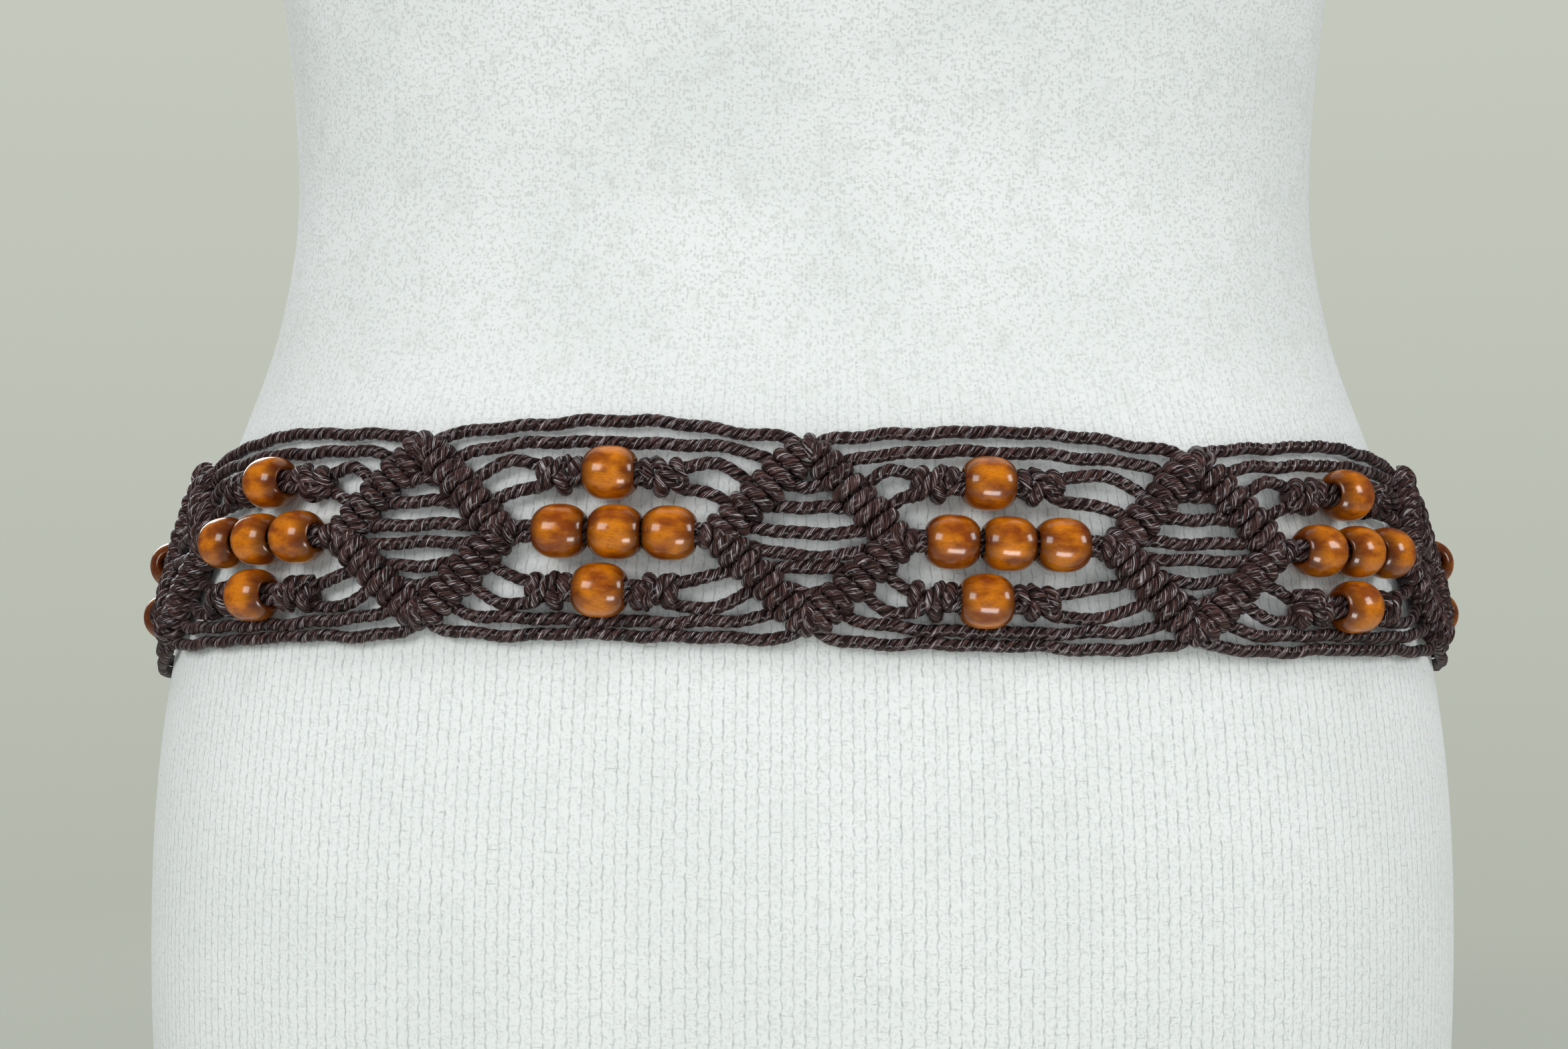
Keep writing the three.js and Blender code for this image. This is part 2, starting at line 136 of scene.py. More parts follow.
# How much a tassel's strands differ in length, how far they sway, and the size of their ends
TASSEL_END = {"ragged": 3.0, "sway": 0.35, "far": 0.8}
# A wrapping's turns of cord: how far inside its outside their middle is, and their lean and thickness
WRAPPING = {"in": 1.3, "down": 1.25, "lean": 0.3, "flat": 1.1}

# The form, from its flat base to the neck: height, half width, depth in front of and behind the middle
FORM = np.array(
    [
        (0, 151, 106, 116),
        (60, 157.5, 111, 125),
        (110, 158.5, 112, 128),
        (150, 155.5, 110, 122),
        (190, 147.5, 106, 110),
        (215, 138, 100, 99),
        (240, 129.5, 93, 90),
        (272, 125, 87, 84),
        (320, 128.5, 90, 88),
        (380, 138, 102, 93),
        (440, 148, 112, 97),
        (500, 156, 106, 98),
        (560, 163, 88, 92),
        (600, 164, 73, 84),
        (630, 150, 62, 74),
        (652, 118, 55, 65),
        (672, 76, 51, 57),
        (690, 56, 49, 51),
        (735, 50, 48, 48),
    ],
    dtype=float,
)
HALF, FRONT, BACK = 1, 2, 3
FORM_SIDES = 192
FORM_POWER = 2.6
NECK_POWER = 2.0
NECK_FROM = 600
# How the belt lies on it
BELT_Z = 190.0  # the height of its middle line at the centre front
TILT = 0.074  # how much it falls for each millimetre that the skin is farther back
WAVE = 1.6  # how much lower it hangs on the +X side of the front, and higher on the other
LEAN = 0.285  # how far it leans along itself at the sides, for each millimetre of height
SHIFT = 0.4  # how far it is moved along at the centre front
ARC_W = 4.0  # the height above the skin at which lengths along it are measured
# The cover's knit, in metres: a column of its jersey, a rib below the waist and the height of a rib's stitch
WALE = 0.001
RIB = 0.0024
COURSE = 0.0036


def smooth(column, z):
    """A cubic through the form's table rows, with the slope at a row of the line between its neighbours."""
    heights = FORM[:, 0]
    values = FORM[:, column]
    slopes = np.gradient(values, np.arange(len(values))) / np.gradient(heights, np.arange(len(values)))
    i = np.clip(np.searchsorted(heights, z) - 1, 0, len(heights) - 2)
    span = heights[i + 1] - heights[i]
    t = np.clip((z - heights[i]) / span, 0, 1)
    keep = 2 * t**3 - 3 * t**2 + 1
    leave = (t**3 - 2 * t**2 + t) * span * slopes[i]
    enter = (t**3 - t**2) * span * slopes[i + 1]
    return keep * values[i] + (1 - keep) * values[i + 1] + leave + enter


def skin(angle, z):
    """The form's skin: a superellipse at each height, whose power falls from 2.6 to 2 towards the neck."""
    angle, z = np.broadcast_arrays(np.asarray(angle, float), np.asarray(z, float))
    s, c = np.abs(np.sin(angle)), np.cos(angle)
    deep = np.where(c > 0, smooth(FRONT, z), smooth(BACK, z))
    t = np.clip((z - NECK_FROM) / (FORM[-2, 0] - NECK_FROM), 0, 1)
    power = FORM_POWER + (NECK_POWER - FORM_POWER) * t * t * (3 - 2 * t)
    r = ((s / smooth(HALF, z)) ** power + (np.abs(c) / deep) ** power) ** (-1 / power)
    return np.stack([r * np.sin(angle), -r * c, z], -1)


def unit(vectors):
    return vectors / np.maximum(np.linalg.norm(vectors, axis=-1, keepdims=True), 1e-12)


def travelled(path):
    """How far along a path each of its points is."""
    return np.concatenate([[0], np.cumsum(np.linalg.norm(np.diff(path, axis=0), axis=1))])


def outward(angle, z):
    """The skin's normal, from the differences of the skin round it and up it."""
    d = 1e-3
    round_it = skin(angle + d, z) - skin(angle - d, z)
    up_it = skin(angle, z + d) - skin(angle, z - d)
    return unit(np.cross(round_it, up_it))


ARC_ANGLES = np.linspace(0, math.pi, 361)
ARC_U = travelled(skin(ARC_ANGLES, BELT_Z) + outward(ARC_ANGLES, BELT_Z) * ARC_W)
BACK_U = ARC_U[-1]


def angle_at(u):
    """The angle round the form at a length u, which may run on past the centre back."""
    far = np.abs(u)
    past = far > BACK_U
    angle = np.interp(np.where(past, 2 * BACK_U - far, far), ARC_U, ARC_ANGLES)
    return np.sign(u) * np.where(past, 2 * math.pi - angle, angle)


def place(flat):
    """From the flat belt to the form: u goes round it, v up it and w out from its skin. The belt falls
    towards the back, waves a little up and down, and leans along itself at the sides."""
    u, v, w = flat[..., 0], flat[..., 1], flat[..., 2]
    turn = math.pi * u / BACK_U
    angle = angle_at(u + SHIFT * np.cos(turn / 2) + LEAN * v * np.sin(turn))
    back = skin(angle, BELT_Z)[..., 1] - skin(0.0, BELT_Z)[1]
    wave = WAVE * np.sin(math.pi * u / (2 * PITCH)) * np.cos(angle / 2)
    z = BELT_Z - TILT * back - wave + v
    return skin(angle, z) + outward(angle, z) * w[..., None]


class Shape:
    """A mesh in the making: points in millimetres, faces of four, and the map and numbers they carry."""

    def __init__(self):
        self.points, self.faces, self.maps, self.marks = [], [], [], []
        self.count = 0

    def grid(self, points, closed_rows, closed_columns, uv, mark=0.0):
        """Adds a grid of points with its faces. uv has one more row or column where the grid is closed."""
        rows, columns = points.shape[:2]
        i, j = np.meshgrid(
            np.arange(rows if closed_rows else rows - 1),
            np.arange(columns if closed_columns else columns - 1),
            indexing="ij",
        )
        below, beside = (i + 1) % rows, (j + 1) % columns
        corners = [(i, j), (i, beside), (below, beside), (below, j)]
        self.faces.append(np.stack([a * columns + b for a, b in corners], -1).reshape(-1, 4) + self.count)
        loops = [uv[i, j], uv[i, j + 1], uv[i + 1, j + 1], uv[i + 1, j]]
        self.maps.append(np.stack(loops, -2).reshape(-1, 2))
        self.points.append(points.reshape(-1, 3))
        self.marks.append(np.broadcast_to(np.asarray(mark, float), points.shape[:2]).reshape(-1))
        self.count += rows * columns

    def made(self, name, material, body="root"):
        """The piece itself. Points on one spot become one, which closes its caps and poles."""
        points = np.concatenate(self.points) * MM
        faces = np.concatenate(self.faces)
        mesh = bpy.data.meshes.new(name)
        mesh.vertices.add(len(points))
        mesh.vertices.foreach_set("co", points.astype(np.float32).ravel())
        mesh.loops.add(faces.size)
        mesh.loops.foreach_set("vertex_index", faces.astype(np.int32).ravel())
        mesh.polygons.add(len(faces))
        mesh.polygons.foreach_set("loop_start", np.arange(0, faces.size, 4, dtype=np.int32))
        mesh.update(calc_edges=True)
        layer = mesh.uv_layers.new(name="along")
        layer.data.foreach_set("uv", np.concatenate(self.maps).astype(np.float32).ravel())
        mark = mesh.attributes.new("mark", "FLOAT", "POINT")
        mark.data.foreach_set("value", np.concatenate(self.marks).astype(np.float32))
        mesh.polygons.foreach_set("use_smooth", np.ones(len(faces), dtype=bool))
        mesh.validate()
        closed = bmesh.new()
        closed.from_mesh(mesh)
        bmesh.ops.remove_doubles(closed, verts=closed.verts, dist=1e-6)
        closed.to_mesh(mesh)
        closed.free()
        mesh.materials.append(material)
        thing = bpy.data.objects.new(name, mesh)
        bpy.context.scene.collection.objects.link(thing)
        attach(thing, body)
        return thing


def curve(points, step=STEP):
    """A smooth path through a few points, resampled evenly: cubics in the root of the chord length."""
    points = np.asarray(points, float)
    chords = np.linalg.norm(np.diff(points, axis=0), axis=1)
    t = np.concatenate([[0], np.cumsum(np.maximum(chords, 1e-6) ** 0.5)])
    if len(points) > 2:
        slopes = np.gradient(points, t, axis=0)
    else:
        slopes = np.diff(points, axis=0).repeat(2, 0) / t[-1]
    fine = np.linspace(0, t[-1], DENSE * len(points))
    i = np.clip(np.searchsorted(t, fine) - 1, 0, len(t) - 2)
    span = (t[i + 1] - t[i])[:, None]
    x = (fine[:, None] - t[i][:, None]) / span
    keep = 2 * x**3 - 3 * x**2 + 1
    path = keep * points[i] + (1 - keep) * points[i + 1]
    path += (x**3 - 2 * x**2 + x) * span * slopes[i] + (x**3 - x**2) * span * slopes[i + 1]
    return even(path, step)


def even(path, step=STEP):
    """A path's points spaced evenly along it."""
    length = travelled(path)
    count = max(3, int(round(length[-1] / step)) + 1)
    at = np.linspace(0, length[-1], count)
    return np.stack([np.interp(at, length, path[:, k]) for k in range(3)], -1)


def wavy(path, size=0.22, periods=(31.0, 13.0), fade=6):
    """A path pushed a little to and fro across itself, by slow waves that die out at its two ends."""
    length = travelled(path)
    swell = np.minimum(1, np.minimum(length, length[-1] - length) / fade)
    moved = path.copy()
    for period in periods:
        moved[:, 1] += size * swell * np.sin(2 * math.pi * (length / period + chance.random()))
    return moved


def cord(
    shape, path, facing=OUT, radius=CORD_RADIUS, flat=1.0, closed=False, groove=GROOVE, seam=None, far=1.0
):
    """A three-ply cord along a path of the flat belt. Each ring of the mesh is round with grooves between the
    plies, and turns on by the lay. facing is a direction that the path never has, flat is the thickness that
    way as a share of the width, and far is the size of the far end. A closed path makes a loop, whose plies
    meet up. seam is 0 or 1 where the path's start or end meets the next piece of the same cord. The number
    that the mesh carries is above 1 on a loop, and below 1 elsewhere."""
    count = len(path)
    steps = np.roll(path, -1, 0) - np.roll(path, 1, 0)
    if not closed:
        steps[0], steps[-1] = path[1] - path[0], path[-1] - path[-2]
    along = unit(steps)
    side = unit(np.cross(np.broadcast_to(facing, along.shape), along))
    up = np.cross(along, side)
    gaps = np.linalg.norm(np.diff(path, axis=0, append=path[:1] if closed else path[-1:]), axis=1)
    length = np.concatenate([[0], np.cumsum(gaps)])
    thirds = length[-1] * PLIES / LAY
    lay = LAY * thirds / round(thirds) if closed else LAY
    begin = chance.random(2) * (LAY, PATTERN_SHIFT) if seam is None else np.full(2, -seam * length[-1])
    turns = (length[:count] + begin[0]) / lay
    part = np.arange(CORD_SIDES) / CORD_SIDES
    ply = 1 - groove * (1 - np.abs(np.cos(PLIES * math.pi * part)) ** GROOVE_POWER)
    angle = 2 * math.pi * (part[None, :] - turns[:, None])
    thins_at = [0, max(length[-1] - TAPER, 0.1), length[-1]]
    size = radius * np.interp(length[:count], thins_at, [1, 1, 1 if closed else far])
    ring = side[:, None] * np.cos(angle)[..., None] + up[:, None] * (np.sin(angle) * flat)[..., None]
    points = path[:, None] + ring * (size[:, None] * ply)[..., None]
    rows = length[: count + 1]
    if not closed:
        ends = [end[None, None].repeat(CORD_SIDES, 1) for end in (path[0], path[-1])]
        points = np.concatenate([ends[0], points, ends[1]])
        rows = np.concatenate([[0], length[:count], length[count - 1 : count]])
    around = np.arange(CORD_SIDES + 1) / CORD_SIDES
    uv = np.stack(np.broadcast_arrays((rows[:, None] + begin[1]) * MM, around[None, :]), -1)
    mark = 0.5 if seam is not None else chance.random()
    shape.grid(place(points), closed, True, uv, mark=mark + (1 if closed else 0))


def tip(sign):
    """How far the diamond's upper or lower tip is from its middle line."""
    return DIAMOND["peak"] if sign > 0 else DIAMOND["foot"]


def on_row(centre, side, sign, hitch, out):
    """Where a cord enters or leaves a hitch in a row, inside the diamond or on the row's outer edge."""
    t = HITCH["first"] + HITCH["step"] * hitch
    slant = math.hypot(DIAMOND["half"], tip(sign))
    u = DIAMOND["half"] * t + out * HITCH["edge"] * tip(sign) / slant
    v = tip(sign) * (1 - t) + out * HITCH["edge"] * DIAMOND["half"] / slant
    return np.array([centre + side * u, sign * v, ROW_W])


def row_point(centre, side, sign, hitch):
    """The middle of a row, where a hitch's cord goes through it."""
    t = HITCH["first"] + HITCH["step"] * hitch
    return np.array([centre + side * DIAMOND["half"] * t, sign * tip(sign) * (1 - t), ROW_W - UNDER])


def loop(shape, centre, axis, half, high, lean=0.0, radius=CORD_RADIUS, flat=1.06):
    """One turn of cord round something: an ellipse with the half axes half, across the axis, and high, in the
    plane square to the axis. It leans along the axis, by lean at its one edge and by -lean at the other."""
    axis = unit(np.asarray(axis, float))
    side = unit(np.cross(OUT, axis))
    count = max(16, int(round(math.pi * (half + high) / STEP)))
    a = 2 * math.pi * np.arange(count) / count
    path = centre + half * np.cos(a)[:, None] * side + high * np.sin(a)[:, None] * OUT
    path += lean * np.cos(a)[:, None] * axis
    cord(shape, path, facing=axis, radius=radius, flat=flat, closed=True, groove=TIGHT_GROOVE)


# The wraps of a row: their half axes and lean, the place of the first and the step to the next as shares of
# the row's length, how much the two of a hitch are drawn together as such a share, and their cord's radius
WRAP = {
    "half": 2.9,
    "high": 2.15,
    "lean": 0.25,
    "first": 0.085,
    "step": 0.1215,
    "pair": 0.004,
    "radius": 1.38,
}
WRAPS = 8
WRAP_WOBBLE = {"half": 0.12, "high": 0.1, "lean": 0.1, "along": 0.05}  # how much each wrap differs
# The turn round each tip of a diamond: how far below the tip it is, how far out, its half axes and its lean
TIP_TURN = {"below": 0.9, "out": 0.6, "half": 2.3, "high": 2.1, "lean": 0.3}
# The two turns round each side corner of a diamond: how far past it, how much higher than the rows, half axes
# and lean. Where the net ends there is one
CORNER_TURNS = [
    {"past": -0.5, "rise": 0.0, "half": 2.2, "high": 2.1, "lean": 0.4},
    {"past": 2.5, "rise": 0.5, "half": 1.5, "high": 2.1, "lean": 0.4},
]
END_TURN = {"past": -0.5, "rise": 0.0, "half": 2.4, "high": 2.1, "lean": 0.3}


def hitched_row(knots, cords, centre, side, sign):
    """A row of double half hitches from the diamond's tip to its corner: eight wraps round a holding cord."""
    peak = np.array([centre, sign * tip(sign), ROW_W])
    corner = np.array([centre + side * DIAMOND["half"], 0.0, ROW_W])
    axis = unit(corner - peak)
    slant = np.linalg.norm(corner - peak)
    for k in range(WRAPS):
        wobble = chance.normal(size=4)
        share = WRAP["first"] + WRAP["step"] * k + (-1 if k % 2 else 1) * WRAP["pair"]
        middle = peak + axis * (slant * share + WRAP_WOBBLE["along"] * wobble[3])
        lean = side * sign * (WRAP["lean"] + WRAP_WOBBLE["lean"] * wobble[2])
        half = WRAP["half"] + WRAP_WOBBLE["half"] * wobble[0]
        high = WRAP["high"] + WRAP_WOBBLE["high"] * wobble[1]
        loop(knots, middle, axis, half, high, lean, WRAP["radius"])
    holding = [peak - [side * 3.2, 0, 0.6], peak + [0, 0, 0.4], (peak + corner) / 2, corner + axis * 0.5]
    cord(cords, curve(holding))


def diamond(knots, cords, centre):
    """Four hitched rows, a turn round each tip, and the slack cords across, which sag below their hitches."""
    for side in (1, -1):
        for sign in (1, -1):
            hitched_row(knots, cords, centre, side, sign)
    for sign in (1, -1):
        middle = np.array([centre, sign * (tip(sign) - TIP_TURN["below"]), ROW_W + TIP_TURN["out"]])
        loop(knots, middle, ACROSS, TIP_TURN["half"], TIP_TURN["high"], TIP_TURN["lean"], WRAP["radius"])
        for hitch in (1, 2, 3):
            sag = SLACK["sag"] + SLACK["spread"] * chance.normal()
            path = []
            for side in (1, -1):
                edge = on_row(centre, side, sign, hitch, -1)
                edge[2] = ROW_W - SLACK["under"]
                reach = min(SLACK["reach"], SLACK["share"] * abs(edge[0] - centre))
                inside = [edge[0] - side * reach, edge[1] - sag / 2, SLACK_W + SLACK["rise"]]
                path += [row_point(centre, side, sign, hitch), edge, inside]
            path.append([centre, edge[1] - sag, SLACK_W])
            cord(cords, wavy(curve(sorted(path, key=lambda point: point[0])), SLACK["wave"]))


def corner_turn(knots, centre, side, turn):
    """A turn of cord round a diamond's side corner."""
    corner = centre + side * DIAMOND["half"]
    middle = np.array([corner + side * turn["past"], 0, ROW_W + turn["rise"]])
    loop(knots, middle, ACROSS * side, turn["half"], turn["high"], turn["lean"])


# The turns of cord that a knot beside a bead shows, from the bead outwards: distance, rise, size and lean
KNOT_TURNS = [
    {"from_bead": 1.8, "rise": 0.8, "half": 1.7, "high": 2.1, "lean": 0.5},
    {"from_bead": 5.0, "rise": -0.7, "half": 2.0, "high": 2.4, "lean": -0.6},
    {"from_bead": 8.4, "rise": 0.9, "half": 1.6, "high": 2.0, "lean": 0.7},
]
KNOT_WOBBLE = {"along": 0.15, "lean": 0.2, "half": 0.12, "rise": 0.2}  # how much each turn differs
KNOT_CORD = {"radius": 1.47, "flat": 1.1}
SAME_WAY = 0.7  # the chance that a knot's first turn is the farther one from the belt's middle line
# A cord that crosses over the front of them: distance from the bead, height, and distance out
KNOT_OVER = [(10.2, -2.7, 0.2), (8.2, -2.4, 2.6), (6.7, -0.7, 3.5), (4.9, 1.5, 3.0), (3.4, 3.0, 0.6)]


def knot(knots, bead_side, v, side):
    """A knot of two cords beside a bead: three fat turns, and a cord that crosses between them."""
    way = np.sign(v) * (1 if chance.random() < SAME_WAY else -1)
    for turn in KNOT_TURNS:
        wobble = chance.normal(size=4)
        rise = way * turn["rise"] + KNOT_WOBBLE["rise"] * wobble[3]
        away = turn["from_bead"] + KNOT_WOBBLE["along"] * wobble[0]
        centre = np.array([bead_side - side * away, v + rise, KNOT_W])
        lean = side * turn["lean"] * way + KNOT_WOBBLE["lean"] * wobble[1]
        half = turn["half"] + KNOT_WOBBLE["half"] * wobble[2]
        loop(knots, centre, ACROSS * side, half, turn["high"], lean, **KNOT_CORD)
    path = [(bead_side - side * du, v + dv * way, KNOT_W + dw) for du, dv, dw in KNOT_OVER]
    cord(knots, curve(path))


def half_panel(knots, cords, centre, side, panel):
    """The long cords, knots and bead strands beside a diamond, up to the middle of the panel."""
    edge = PITCH / 2
    stop_u = centre + side * edge
    for row in LONG_CORDS:
        sign, hitch = row["sign"], row["hitch"]
        start = on_row(centre, side, sign, hitch, 1)
        start[2] = ROW_W - UNDER
        low = panel["hang"] if sign < 0 else 0
        w = LOW_W + LONG_LIFT[hitch]
        high = sign * row["mid"] - low
        bend = [start[0] + side * row["bend"], sign * row["leave"] - HANG_SHARE * low, w]
        ends = [[stop_u - side * LEVEL, high, w], [stop_u, high, w]]
        path = wavy(curve([row_point(centre, side, sign, hitch), start, bend, *ends]))
        cord(cords, path if side > 0 else path[::-1], seam=1 if side > 0 else 0)
    middle_bead = stop_u + panel["middle"]
    for sign, shift in ((1, panel["upper"]), (-1, panel["lower"])):
        v = sign * BEADS["up"]
        end = middle_bead + shift
        to = end - side * (BEAD["long"] / 2 + KNOT["gap"])
        begin = to - side * KNOT["long"]
        for run in INTO_KNOT:
            hitch, into = run["hitch"], run["into"]
            start = on_row(centre, side, sign, hitch, 1)
            start[2] = ROW_W - UNDER
            reach = begin - start[0]
            middle = [start[0] + 0.5 * reach, (start[1] + v) / 2 + sign * (into / 2 + run["bulge"]), SLACK_W]
            enter = [begin + side * 0.5, v + sign * into, KNOT_W - UNDER]
            inside = [begin + side * 3, v + sign * 0.5 * into, KNOT_W]
            path = curve([row_point(centre, side, sign, hitch), start, middle, enter, inside])
            cord(cords, wavy(path, INTO_WAVE))
        knot(knots, to, v, side)
        for shifted in (STRAND_APART, -STRAND_APART):
            strand = [[to - side * 3, v + shifted, BEAD_W - 1], [end - side * 3, v + shifted, BEAD_W]]
            cord(cords, curve(strand))
    step = BEADS["first"] if side > 0 else BEADS["last"]
    corner = centre + side * DIAMOND["half"]
    for turn in CORNER_TURNS:
        corner_turn(knots, centre, side, turn)
    for shifted in (STRAND_APART, -STRAND_APART):
        strand = [
            [corner - side * 2, shifted, ROW_W],
            [corner + side * 3, shifted, ROW_W + 1],
            [middle_bead - side * 1.5 * step, shifted, BEAD_W],
            [middle_bead - side * step / 2, shifted, BEAD_W],
            [middle_bead, shifted, BEAD_W],
        ]
        cord(cords, curve(strand), radius=STRAND_RADIUS)


def fan(knots, cords, centre, side):
    """Where the net ends: its cords run together into the gathering knot."""
    mouth = centre + side * (GATHER["start"] - FAN["mouth"])
    enter = centre + side * (GATHER["start"] + FAN["enter"])
    for sign in (1, -1):
        for hitch in range(4):
            start = on_row(centre, side, sign, hitch, 1)
            start[2] = ROW_W - UNDER
            row = 4 - hitch
            deep = GATHER["w"] + (FAN["outer"] if row % 2 else FAN["inner"])
            into = [mouth, sign * FAN["apart"] * row, deep]
            ends = [enter, sign * FAN["apart_in"] * row, deep]
            cord(cords, curve([row_point(centre, side, sign, hitch), start, into, ends]))
    start = [centre + side * (DIAMOND["half"] - 2), 0, ROW_W]
    for sign in (1, -1):
        into = [mouth, sign * FAN["strand"], GATHER["w"] + 2.2]
        ends = [enter, sign * FAN["strand"], GATHER["w"] + 2.4]
        cord(cords, curve([start, into, ends]))
    corner_turn(knots, centre, side, END_TURN)


def bundle_spots(half):
    """The places of ten cords side by side in a round bundle: seven in a ring round three."""
    ring = 2 * math.pi * (np.arange(7) + 0.3) / 7
    core = 2 * math.pi * (np.arange(3) + 0.15) / 3
    outer = (half - TIE["radius"]) * np.stack([np.cos(ring), np.sin(ring)], -1)
    inner = TIE["radius"] * np.stack([np.cos(core), np.sin(core)], -1)
    return np.concatenate([outer, inner])


def tie_end(shape, side):
    """Ten cords side by side, from the gathering knot to the centre back, and down into the binding."""
    start = ENDS * PITCH + GATHER["start"] + GATHER["long"] - 1
    down = BACK_U - TIE["apart"]
    w = GATHER["w"]
    spine = [(start, 0), (down - 10, -1), (down - 2, -5), (down, BIND["top"]), (down, BIND["top"] - 3)]
    spine = curve([(u, v, w) for u, v in spine], TIE["step"])
    along = unit(np.gradient(spine, axis=0))
    across = unit(np.cross(OUT, along))
    for a, b in bundle_spots(TIE["half"]):
        path = spine + a * across + [0, 0, b]
        path[:, 0] *= side
        cord(shape, even(path), radius=TIE["radius"])


def turns_round(shape, centre, axis, size):
    """Turns of cord side by side round a bundle, whose outsides are half wide and high deep."""
    for k in range(size["turns"]):
        along = size["long"] * ((k + 0.5) / size["turns"] - 0.5)
        middle = np.asarray(centre, float) + np.asarray(axis) * along
        half, high = size["half"] - WRAPPING["in"], size["high"] - WRAPPING["down"]
        loop(shape, middle, axis, half, high, WRAPPING["lean"] * chance.normal(), flat=WRAPPING["flat"])


def tassel(shape, side):
    """Ten cords that hang from the binding, each a little apart from the others."""
    middle_u = BACK_U - TASSEL["apart"]
    top = BIND["top"] - BIND["long"] + 2
    for layer in range(TASSEL["layers"]):
        for i in range(TASSEL["strands"]):
            across = (i - (TASSEL["strands"] - 1) / 2) * TASSEL["spread"]
            w = LOW_W + SEAM + layer * (CORD + SEAM)
            long = TASSEL["long"] - TASSEL_END["ragged"] * ((i + layer) % 3 - 1)
            sway = TASSEL_END["sway"] * chance.normal(size=4)
            path = []
            for k in range(4):
                spread = across * (1 + TASSEL["fan"] * k) + TASSEL["drift"] * k
                u = side * (middle_u - spread) + sway[k]
                path.append([u, top - long * k / 3, w + (1.0 if k == 0 else 0)])
            cord(shape, curve(path), far=TASSEL_END["far"])


def bead(name, centre, along, material):
    """A turned bead: a barrel carried round the hole's axis, closed through the hole. Its radius is that of
    the middle times the root of 1 less a share of its length to a power, cut off at the rims of the hole."""
    half = BEAD["long"] / 2
    hole = BEAD["hole"] / 2
    rim = BEAD["rim"] / 2
    share = np.linspace(-1, 1, BEAD_RINGS)
    full = half / (1 - (2 * rim / BEAD["across"]) ** 2) ** (1 / BARREL)
    barrel = BEAD["across"] / 2 * (1 - np.abs(share * half / full) ** BARREL) ** 0.5
    lip = [(0.03, rim - 0.3), (0.25, rim - 0.65), (0.75, hole + 0.05), (1.4, hole)]
    lip_x, lip_r = np.array([(half - inside, r) for inside, r in lip]).T
    x = np.concatenate([share * half, lip_x, [0], -lip_x[::-1]])
    r = np.concatenate([barrel, lip_r, [hole], lip_r[::-1]])
    sides = BEAD_SIDES
    a = 2 * math.pi * np.arange(sides) / sides
    start = place(np.asarray(centre) - np.asarray(along))
    stop = place(np.asarray(centre) + np.asarray(along))
    axis = unit(stop - start)
    middle = place(np.asarray(centre, float))
    side = unit(np.cross(axis, [0, 0, 1.0]))
    up = np.cross(side, axis)
    ring = np.cos(a)[None, :, None] * side + np.sin(a)[None, :, None] * up
    points = middle + x[:, None, None] * axis + r[:, None, None] * ring
    shape = Shape()
    profile = np.concatenate([x, x[:1]])
    uv = np.stack(np.broadcast_arrays(np.arange(sides + 1)[None, :] / sides, profile[:, None] * MM), -1)
    shape.grid(points[:, ::-1], True, True, uv, mark=chance.random())
    return shape.made(name, material)


# Shaders


class Value:
    """A shader's number or colour. Each operator on it adds the Math node that works it out."""

    def __init__(self, maker, socket):
        self.maker, self.socket = maker, socket

    def __add__(self, other):
        return self.maker.math("ADD", self, other)

    def __radd__(self, other):
        return self.maker.math("ADD", other, self)

    def __sub__(self, other):
        return self.maker.math("SUBTRACT", self, other)

    def __rsub__(self, other):
        return self.maker.math("SUBTRACT", other, self)

    def __mul__(self, other):
        return self.maker.math("MULTIPLY", self, other)

    def __truediv__(self, other):
        return self.maker.math("DIVIDE", self, other)


